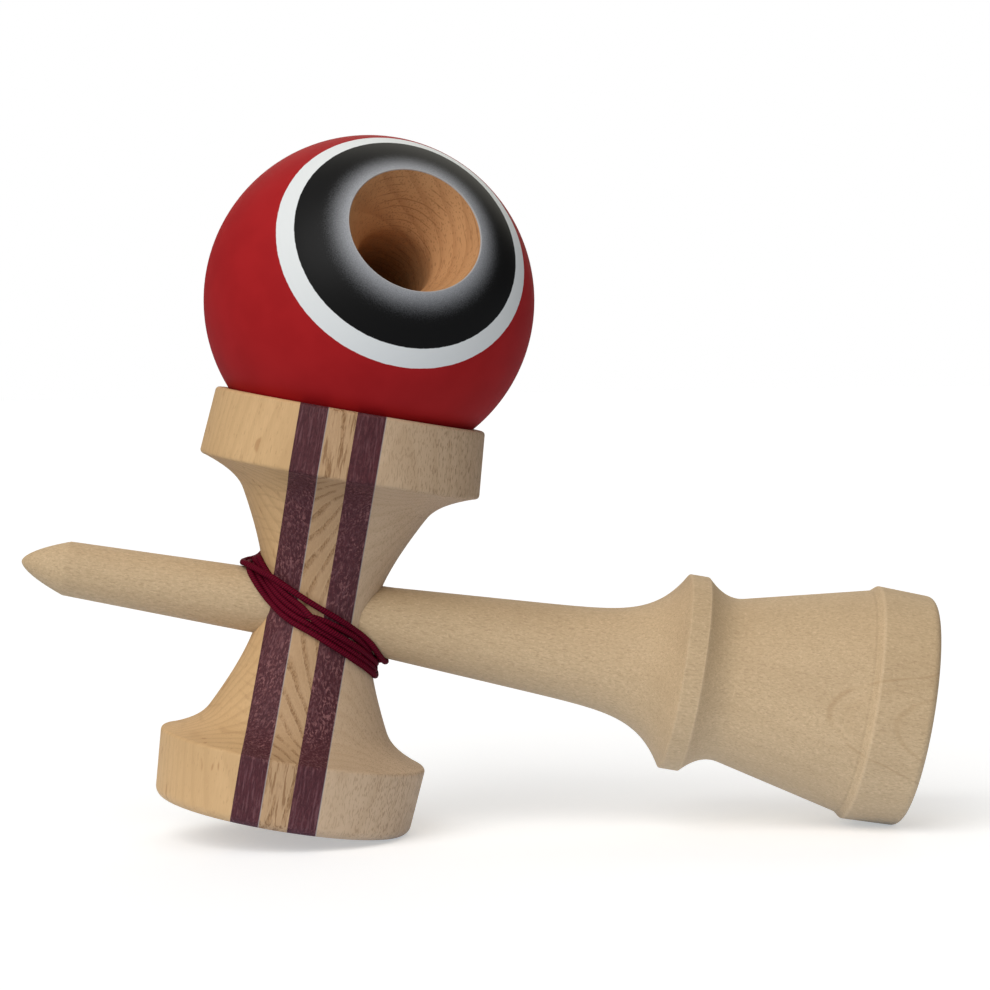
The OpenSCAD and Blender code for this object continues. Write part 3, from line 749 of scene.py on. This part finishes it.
def ball_finish():
    """By the angle from the hole's axis, a sprayed grey ring that fades into black, a white ring, then
    red. Inside the hole, nearer the middle than the ball's radius, it is bare beech with its grain
    across, with pores, rings and marks of the turning tool."""
    f = Finish("painted_ball", BALL_AXES, BALL_MIDDLE)
    x, y, z = f.parts(f.place)
    far = f.vector("LENGTH", f.place, out=1)
    ragged = f.times(f.math("SUBTRACT", f.noise(0.9), 0.5), 0.35)
    angle = f.math("DEGREES", f.math("ARCCOSINE", f.math("DIVIDE", z, far)))
    angle = f.math("ADD", angle, ragged)
    speck = f.math("SUBTRACT", f.noise(5, 3, 0.85), 0.5)
    fade = f.line(speck, 0.75, f.step(angle, *SPRAY_FADE, 1, 0))
    fade = f.math("POWER", f.math("MAXIMUM", fade, 0), 1.5, clamp=True)
    spray = f.times(fade, f.step(angle, *SPRAY_END, 1, 0))
    mottle = f.step(f.noise(0.16), 0.3, 0.7)
    red = f.mix(mottle, (0.37, 0.0085, 0.0105), (0.405, 0.0105, 0.0125))
    paint = f.mix(spray, (0.0058, 0.0055, 0.0053), (0.385, 0.39, 0.405))
    paint = f.mix(f.step(angle, *WHITE_START), paint, (0.82, 0.835, 0.82))
    paint = f.mix(f.step(angle, *RED_START), paint, red)
    paint = f.layered(paint, (f.step(angle, *WORN_RIM, 1, 0), 0.55, (0.5, 0.47, 0.44)))
    lying = f.add("Mapping", {0: f.place, "Rotation": (math.radians(78), 0, math.radians(18))})
    rings, _, _, pores, cloud = f.grain((26, -30, 0), 3.6, 2.5, 0.3, 0.42, at=lying)
    sway = f.line(f.noise(0.1, 1), 3, z)
    chatter = f.step(f.math("SINE", f.times(sway, 2 * math.pi / 1.5)), 0.8, 0.99)
    upper = f.step(f.line(x, 0.55, y), 3.5, 8, 0.12, 1)
    chatter = f.times(chatter, upper, f.step(f.noise(0.2), 0.4, 0.6))
    bare = f.layered(
        f.mix(cloud, (0.535, 0.275, 0.119), (0.635, 0.34, 0.153)), (rings, 0.3, (0.36, 0.155, 0.06)),
        (chatter, 0.5, (0.27, 0.115, 0.045)), (pores, 0.34, (0.2, 0.08, 0.03)))
    # Deeper into the bore the bare wood turns dark brown: painted shade inside the hole
    bare = f.mix(f.step(z, 0, 17, 0.55, 0), bare, (0.2, 0.085, 0.025))
    inside = f.step(far, BALL_R - 0.32, BALL_R - 0.16, 1, 0)
    grit = f.times(f.noise(5, 3, 0.6), 0.5)
    relief = f.math("ADD", grit, f.times(pores, inside, -1.2))
    dull = f.math("MAXIMUM", inside, f.step(angle, *DULL_START))
    return f.done(f.mix(inside, paint, bare), f.line(dull, 0.18, 0.44), 0.12,
                  Normal=f.bump(relief, 0.25, 0.00006))


def bead_finish():
    """Plain turned wood for the bead."""
    f = Finish("bead_wood", BALL_AXES, BALL_MIDDLE)
    rings, _, fibres, pores, cloud = f.grain((9, 12, 0), 1.8, 1.5, 0.35, 0.36)
    tone = f.layered(
        f.mix(cloud, (0.42, 0.25, 0.12), (0.5, 0.31, 0.15)), (rings, 0.3, (0.3, 0.16, 0.07)),
        (pores, 0.5, (0.2, 0.1, 0.045)))
    return f.done(tone, f.line(fibres, 0.1, 0.52), 0.25)


# The braid's ribs: their step along the string in mm, their starts round it, their relief by radius, and
# the map that holds the length along the string and the share of the way round it
RIB_STEP, RIB_STARTS, RIB_RELIEF = 0.46, 2, 0.035
STRING_MAP = "lay"


def string_finish():
    """Braided cord: close slanting ribs with painted shade between them, slow drifts of colour and fine
    fibres.
    """
    f = Finish("string")
    u, v, _ = f.parts(f.add("UVMap", {}, uv_map=STRING_MAP))
    turn = f.line(v, RIB_STARTS, f.math("DIVIDE", u, RIB_STEP))
    ribs = f.line(f.math("COSINE", f.times(turn, 2 * math.pi)), 0.5, 0.5)
    drift = f.noise(1, at=f.joined(f.times(u, 0.08), v))
    fray = f.noise(1, at=f.joined(f.times(u, 9), f.times(v, 14)))
    # The dark colour between the ribs is painted shade in the braid's grooves
    tone = f.layered(
        f.mix(ribs, (0.04, 0.0011, 0.005), (0.152, 0.0048, 0.0195)),
        (f.step(drift, 0.35, 0.7), 0.2, (0.15, 0.005, 0.018)),
        (f.step(fray, 0.6, 0.75), 0.35, (0.02, 0.0006, 0.002)))
    return f.done(tone, f.line(ribs, -0.08, 0.6), 0.03, Normal=f.bump(fray, 0.3, 0.00004))


# The string

# The start of the winding, from the sarado's hole to the right notch
LEAD_OUT = (SARADO_HOLE, SARADO_HOLE + (0, 1, 0), (-0.4, 13, 3.5), (1.4, 13.9, 3),
            (3.8, 13.2, 1.8), (7.2, 10.4, -1), (10.6, 6, -4.8))
# Turns across the front from the right notch to the left one, as [x, z] or [x, z, lift off the wood in
# string widths]. The second crosses over the first, and the last lies over the rest at the left notch
FRONT_TURNS = (
    ((13, -7.7), (12.5, -7.1), (10.9, -5.4), (8.6, -3.6), (5.9, -2.2), (3.5, -1.3), (1.4, -0.7),
     (-0.6, -0.4), (-2.5, 0), (-4.7, 0.9), (-6.7, 2.1), (-8.7, 3.6), (-10.2, 5.1), (-11.3, 6.4),
     (-12.2, 7.6)),
    ((12.7, -8.1), (10.5, -6.3, 0.2), (8, -4.6, 0.6), (5.3, -3.2, 0.9), (2.9, -2.2, 0.9),
     (0.5, -1.2, 0.8), (-1.7, 0.1, 0.4), (-3.9, 1.4), (-6.5, 2.9), (-8.4, 4.4), (-9.8, 5.6),
     (-11, 6.7), (-11.9, 7.9)),
    ((12.6, -8.6), (12, -8.2), (10.2, -7.1), (7.8, -5.7), (4.9, -4.2), (2.1, -3), (-0.2, -2),
     (-2.6, -1.2), (-5.3, -0.2), (-7.6, 1.2), (-9.5, 2.8), (-11.1, 4.5), (-12.3, 5.7), (-13, 6.5)),
    ((12.2, -9.4), (11.3, -8.7), (9.1, -7.4), (6.9, -6.2), (4.4, -5.1), (2, -4), (-0.8, -3),
     (-2.9, -2.3), (-5.1, -1.4), (-7.9, 0.4), (-9.8, 2.2), (-11.5, 3.8), (-13, 5.5), (-13.6, 6.2)),
    ((13.8, -6.9), (13, -5.8), (11.3, -4.2), (9.5, -3), (7.2, -1.6), (4.4, -0.2), (1.4, 1),
     (-2.1, 2.4), (-5.4, 3.8), (-8.7, 5.1, 0.4), (-11.2, 5.9, 0.9), (-12.8, 6.2, 1),
     (-14.2, 6.4, 1)),
)
# Where each crossing lies behind: across the bundle and off the wood, in string widths
BEHIND = ((1, 0), (0, 0), (-1, 0), (0.4, 1))
# The bundle behind as [x, z]: its middle, its way, the way across it, and its points along its way
BEHIND_MIDDLE, BEHIND_WAY, BEHIND_ACROSS = np.array([(0.2, -0.4), (0.88, -0.47), (0.47, 0.88)])
BEHIND_POINTS = np.linspace(-9.5, 9.5, 5)[:, None]
# The free stretch from the winding to the ball, as in the part's source
FREE_STRETCH = (
    (-13.9, 2, 6.1), (-13, 4, 6.5), (-12, 5.9, 7.4), (-11.4, 7.8, 8.8), (-11.2, 10, 10.5),
    (-11.5, 12.5, 12.4), (-12, 15.6, 14.6), (-12.6, 18.4, 16.7), (-12.8, 23, 20),
    (-12.4, 25.8, 22.3), (-12, 28.2, 24.6), (-11.5, 30.3, 27), (-10.9, 32.1, 29.6),
    (-10.2, 33.3, 32.3), (-9.5, 33.6, 35.1), (-8.8, 32.8, 37.6), (-8, 31, 39.5),
)
# How many points of the free stretch are still drawn tight with the winding
HUGGING = 5
# The string's places along the axis of the ball's hole, from outside to its knot
INTO_BALL = (-33.4, -31, -28, -24, -18, -8.6)
# Reaches along the ken between which the plan's hold on the turns falls off, and the hold at each
NOTCH_REACH, PLAN_HOLD = (10.5, 12.6), (0.06, 0.006)
# Rounds of pulling tight, in all and at first, the pull at first and later, and the later hold
TIGHT_ROUNDS, FIRST_ROUNDS = 200, 130
FIRST_PULL, LATER_PULL, LATER_HOLD = 0.35, 0.15, 0.4
# Points this close along the string don't push each other apart
NEIGHBOURS = 5
# Rounds and share of easing, and the radius in mm under which a bend is eased
EASE_ROUNDS, EASE_SHARE, LEAST_BEND = 60, 0.4, 2.9
# Steps along the winding and the whole string in mm
WOUND_STEP, LINE_STEP = 0.55, 0.45
# The knots' reach and half width, how deep the string starts and is knotted in the sarado's hole, and how
# far the other knot is off the bead, in mm
KNOT_REACH, KNOT_R = 0.85, 0.56
START_DEPTH, KNOT_DEPTH, KNOT_LIFT = 3.2, 3.3, 2.0


def off_wood(p):
    """How far points are off the ken and the sarado's waist, and the way straight off the nearer one."""
    x, y, z = p.T
    round_sarado, round_ken = np.hypot(x, y) + 1e-9, np.hypot(y, z) + 1e-9
    lean = spread(z) ** 2 * z / waist_r(z)
    rise = (ken_r(x + 0.05) - ken_r(x - 0.05)) / 0.1
    to_sarado = (round_sarado - waist_r(z)) / np.hypot(1, lean)
    to_ken = (round_ken - ken_r(x)) / np.hypot(1, rise)
    way_sarado = np.c_[x / round_sarado, y / round_sarado, -lean] / np.hypot(1, lean)[:, None]
    way_ken = np.c_[-rise, y / round_ken, z / round_ken] / np.hypot(1, rise)[:, None]
    nearer = (to_sarado < to_ken)[:, None]
    return np.minimum(to_sarado, to_ken), np.where(nearer, way_sarado, way_ken)


def through(points, step):
    """A smooth line through points: centripetal cubic pieces, resampled at an even step."""
    p = np.asarray(points, float)
    p = np.vstack([2 * p[0] - p[1], p, 2 * p[-1] - p[-2]])
    gap = np.sqrt(steps(p))[:, None]
    a, b, c = gap[:-2], gap[1:-1], gap[2:]
    start, stop = p[1:-2], p[2:-1]
    leave = ((start - p[:-3]) / a - (stop - p[:-3]) / (a + b) + (stop - start) / b) * b
    enter = ((stop - start) / b - (p[3:] - start) / (b + c) + (p[3:] - stop) / c) * b
    t = np.linspace(0, 1, 24, endpoint=False)[None, :, None]
    start, stop, leave, enter = (v[:, None] for v in (start, stop, leave, enter))
    line = ((2 * t ** 3 - 3 * t ** 2 + 1) * start + (t ** 3 - 2 * t ** 2 + t) * leave
            + (3 * t ** 2 - 2 * t ** 3) * stop + (t ** 3 - t ** 2) * enter)
    line = np.vstack([line.reshape(-1, 3), p[-2]])
    along = run(line)
    return sampled(line, along, np.linspace(0, along[-1], max(2, int(round(along[-1] / step)) + 1)))


def on_wood(places, way):
    """Points of the front or the back at given places [x, z, lift], resting on the wood by the string's
    half width and lifted by whole widths. Found by coming in along y from far off."""
    x, z, lift = np.array([(*place, 0.0)[:3] for place in places]).T
    y = way * np.linspace(20, 0, 401)
    p = np.c_[np.repeat(x, len(y)), np.tile(y, len(x)), np.repeat(z, len(y))]
    free = off_wood(p)[0].reshape(len(x), -1) > (STRING_R + lift * 2 * STRING_R)[:, None]
    last = np.where(free.all(1), len(y) - 1, np.argmin(free, 1) - 1)
    return np.c_[x, y[last], z]


def planned_winding():
    """The winding as planned: out of the sarado's hole, round by the right notch, the front and the left
    notch, five times, with the crossings behind side by side."""
    points = list(LEAD_OUT)
    for k, turn in enumerate(FRONT_TURNS):
        points += list(on_wood(turn, -1))
        if k < len(BEHIND):
            shift, lift = BEHIND[k]
            behind = BEHIND_POINTS * BEHIND_WAY + shift * 2 * STRING_R * BEHIND_ACROSS + BEHIND_MIDDLE
            points += list(on_wood([(x, z, lift) for x, z in behind], 1))
    return through(points + list(FREE_STRETCH[:HUGGING]), WOUND_STEP)


def wound_line():
    """The winding, pulled tight in small steps from its plan: each point moves toward its neighbours'
    middle and its planned place, off the wood by half a string, and off other turns by a whole string.
    Bends that stay too sharp are eased last."""
    plan = planned_winding()
    line = plan.copy()
    order = np.arange(len(line))
    apart = np.abs(np.subtract.outer(order, order)) > NEIGHBOURS
    hold = np.interp(np.abs(plan[:, :1]), NOTCH_REACH, PLAN_HOLD)
    for turn in range(TIGHT_ROUNDS):
        first = turn < FIRST_ROUNDS
        inward = (line[:-2] + line[2:]) / 2 - line[1:-1]
        line[1:-1] += (FIRST_PULL if first else LATER_PULL) * inward
        line += (1 if first else LATER_HOLD) * hold * (plan - line)
        gap = line[:, None] - line[None]
        wide = np.linalg.norm(gap, axis=2) + 1e-9
        push = np.where(apart & (wide < 2 * STRING_R), 2 * STRING_R - wide, 0)
        shove = 0.5 * ((push / wide)[:, :, None] * gap).sum(1)
        shove /= np.maximum(1, (push > 0).sum(1))[:, None]
        line[1:-1] += (shove[:-2] + 2 * shove[1:-1] + shove[2:]) / 4
        off, way = off_wood(line)
        line[3:] += np.maximum(0, STRING_R - off)[3:, None] * way[3:]
        line[:2], line[-2:] = plan[:2], plan[-2:]
    for _ in range(EASE_ROUNDS):
        inward = (line[:-2] + line[2:]) / 2 - line[1:-1]
        sharp = np.linalg.norm(inward, axis=1) > WOUND_STEP ** 2 / (2 * LEAST_BEND)
        line[1:-1] += EASE_SHARE * (np.convolve(sharp, np.ones(5), "same") > 0)[:, None] * inward
    return line


def string_line():
    """The whole string about the crossing: from its knot in the sarado, round the winding, along the free
    stretch and through the ball's string hole to its knot over the bead."""
    start = SARADO_HOLE - (0, START_DEPTH, 0)
    into_ball = from_crossing([(0, 0, z) for z in INTO_BALL])
    return through(np.vstack([[start], wound_line(), FREE_STRETCH[HUGGING:], into_ball]), LINE_STEP)


def tube(name, line, radius, sides=12):
    """A round tube along a line in mm: each ring is square to the line, turned as little as it can be
    from the last. Its radius rises and falls by a cosine of the length and the angle, which gives
    slanting ribs."""
    way = np.gradient(line, axis=0)
    way /= np.linalg.norm(way, axis=1)[:, None]
    side = np.cross(way[0], [0.2, 0.1, 1.0])
    sides_of = []
    for w in way:
        side = unit(side - side @ w * w)
        sides_of.append(side)
    u = np.array(sides_of)
    v = np.cross(way, u)
    a = angles(sides)
    ring = np.cos(a)[None, :, None] * u[:, None] + np.sin(a)[None, :, None] * v[:, None]
    along = run(line)
    ribs = np.cos(2 * np.pi * along[:, None] / RIB_STEP + RIB_STARTS * a)
    grid = line[:, None] + (radius * (1 - RIB_RELIEF + RIB_RELIEF * ribs))[:, :, None] * ring
    faces = grid_faces(len(line), sides, wrap_columns=True)
    ends = [list(range(sides))[::-1], list(range((len(line) - 1) * sides, len(line) * sides))]
    mesh = bpy.data.meshes.new(name)
    mesh.from_pydata(laid(grid.reshape(-1, 3)).tolist(), [], faces.tolist() + ends)
    row, column = np.divmod(np.append(faces, ends), sides)
    over_seam = np.append(np.tile([0, 1, 1, 0], len(faces)), np.zeros(2 * sides)) * (column == 0)
    places = np.c_[along[row], column / sides + over_seam].astype(np.float32)
    mesh.uv_layers.new(name=STRING_MAP).data.foreach_set("uv", places.ravel())
    mesh.shade_smooth()
    return object_of(name, mesh)


def knot_line(middle, way):
    """An overhand knot pulled small: (sin t + 2 sin 2t, cos t - 2 cos 2t, -1.6 sin 3t) scaled to a reach,
    with its third axis along the string."""
    t = angles(96)
    knot = np.c_[np.sin(t) + 2 * np.sin(2 * t), np.cos(t) - 2 * np.cos(2 * t), -1.6 * np.sin(3 * t)]
    way = unit(way)
    return np.asarray(middle) + knot / 3 * KNOT_REACH @ np.stack([*square_to(way), way])


string_look = string_finish()
line = string_line()
string = tube("string", through(line, RIB_STEP / 4), STRING_R)
string.data.materials.append(string_look)
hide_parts("string_winding", "string_to_tama", "string_in_tama", "string_in_sarado")
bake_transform(string)

ball_knot = from_crossing([0, 0, BEAD_Z + BEAD_HALF + KNOT_LIFT])
for name, middle, way, body in (
    ("knot_in_ball", ball_knot, HOLE_WAY @ LAID, "string_end"),
    ("knot_in_sarado", SARADO_HOLE - (0, KNOT_DEPTH, 0), (0, 1, 0), "sarado"),
):
    knot = tube(name, through(knot_line(middle, way), RIB_STEP / 4), KNOT_R)
    put(knot, body, "string", string_look)


# The turned pieces

ken = turned_piece("ken_turned", ken_profile(), 160, laid, closed=False)
put(ken, "ken", "maple", maple_finish(), "ken")

dark_look = dark_strip_finish()
# The outer blocks run past the widest band
BLOCK_REACH = 99.0
PLANES = (-BLOCK_REACH, *STRIP_EDGES, BLOCK_REACH)
SLICES = (
    ("spike_side_block", 48, "cup_wood_warm", warm_block_finish(),
     ("sarado_left_block_upper", "sarado_left_block_lower")),
    ("spike_side_stripe", 10, "dark_strip", dark_look, ("sarado_left_stripe",)),
    ("middle_strip", 10, "open_grain_strip", open_grain_finish(), ("sarado_centre_strip",)),
    ("base_side_stripe", 10, "dark_strip", dark_look, ("sarado_right_stripe",)),
    ("base_side_block", 48, "cup_wood_pale", pale_block_finish(), ("sarado_right_block",)),
)
hole_start = SARADO_HOLE * (1, 0, 1)
bore = rod_mesh("bore_cut", (-BORE_REACH, 0, 0), (BORE_REACH, 0, 0),
                (taper_r(-BORE_REACH) + TAPER_GAP, taper_r(BORE_REACH) + TAPER_GAP), 96)
string_hole = rod_mesh("string_hole_cut", hole_start, SARADO_HOLE + (0, 9, 0), (SARADO_HOLE_R,) * 2, 48)
pocket = rod_mesh("pocket_cut", hole_start, hole_start + (0, POCKET_DEPTH, 0), (POCKET_R,) * 2, 48)
cutters = (bore, string_hole, pocket)
profile = sarado_profile()
for (name, columns, slot, look, nodes), left, right in zip(SLICES, PLANES, PLANES[1:]):
    block = slice_mesh(name, profile, left, right, columns)
    cut(block, cutters if name == "middle_strip" else cutters[:1])
    put(smoothed(block), "sarado", slot, look, *nodes)
for cutter in cutters:
    bpy.data.objects.remove(cutter)


def on_hole_axis(points):
    """Turned points put on the axis of the ball's hole."""
    return in_ball(points[:, [1, 2, 0]])


ball = turned_piece("ball_turned", ball_profile(), 192, on_hole_axis, closed=True)
put(ball, "tama", "painted_ball", ball_finish(), "tama")
bead = turned_piece("bead_turned", bead_profile(), 64, on_hole_axis, closed=True)
put(bead, "bead", "bead_wood", bead_finish(), "bead")


# Floor and light

# The way to the key light, the way that the rim light shines along, and the lights' tints
KEY_FROM = np.array([-0.393, -0.681, 0.618])
RIM_WAY = np.array([-0.12, -0.84, -0.53])
WHITE, RIM_TINT = (1, 1, 1), (1.0, 0.96, 0.84)
# The floor's rings in metres, and the distances over which the light that it throws back fades
FLOOR_RINGS = np.array([0.5, 2.0, 8.0])[:, None]
FLOOR_FADE = (0.1, 0.2)
# How brightly the floor glows to the camera, and to the toy near it
SEEN_GLOW, NEAR_GLOW = 0.4, 0.22
# The world's light away from the key and toward it, and what the camera sees of it
WORLD_DARK, WORLD_BRIGHT, WORLD_SEEN = 0.006, 0.52, 1.0


def make_floor():
    """A flat pale disc under the toy. It throws back a cooler light than the camera sees, most of it near
    the toy."""
    count = 96
    a = angles(count)
    x, y = FLOOR_RINGS * np.cos(a), FLOOR_RINGS * np.sin(a)
    points = np.stack([x, y, np.zeros_like(x)], -1).reshape(-1, 3)
    faces = grid_faces(len(x), count, wrap_columns=True).tolist() + [list(range(count))]
    floor = mesh_of("floor", points, faces)
    for polygon in floor.data.polygons:
        if polygon.normal.z < 0:
            polygon.flip()
    f = Finish("floor")
    seen = f.outputs("LightPath")["Is Camera Ray"]
    place = f.scaled(f.outputs("TexCoord")["Object"], (1, 2, 1))
    far = f.step(f.vector("LENGTH", place, out=1), *FLOOR_FADE)
    bounce = f.mix(far, (0.93, 0.97, 1.0), (0.46, 0.49, 0.54))
    near_glow = f.times(f.line(seen, -1.0, 1.0), f.line(far, -NEAR_GLOW, NEAR_GLOW))
    floor.data.materials.append(f.done(
        f.mix(seen, bounce, (0.8, 0.8, 0.8)), 0.9, 0.0,
        Emission_Color=f.mix(seen, (0.25, 0.5, 1.0), WHITE),
        Emission_Strength=f.line(seen, SEEN_GLOW, near_glow)))


def sun(name, way, strength, spread_angle, tint):
    """A wide soft sun that shines along a way."""
    data = bpy.data.lights.new(name, "SUN")
    data.energy = strength
    data.color = tint
    data.angle = math.radians(spread_angle)
    back = unit(-way)
    aim(bpy.data.objects.new(name, data), back, np.cross([0, 0, 1.0], back), back)


def make_world():
    """A pale studio: brightest round the key light, fading to dark behind the toy, and white to the
    camera."""
    world = bpy.data.worlds.new("studio")
    bpy.context.scene.world = world
    world.use_nodes = True
    world.node_tree.nodes.clear()
    g = Graph(world.node_tree)
    way = g.outputs("TexCoord")["Generated"]
    toward = g.vector("DOT_PRODUCT", way, tuple(KEY_FROM), out=1)
    glow = g.step(toward, -0.82, 1.0, WORLD_DARK, WORLD_BRIGHT)
    seen = g.outputs("LightPath")["Is Camera Ray"]
    strength = g.add("Mix", {0: seen, 2: glow, 3: WORLD_SEEN})
    light = g.add("Background", {"Color": WHITE, "Strength": strength})
    g.feed(g.tree.nodes.new("ShaderNodeOutputWorld").inputs[0], light)


make_floor()
sun("key", -KEY_FROM, 1.69, 50, WHITE)
sun("rim", RIM_WAY, 0.7, 60, RIM_TINT)
make_world()
bpy.context.scene.view_settings.view_transform = "Standard"
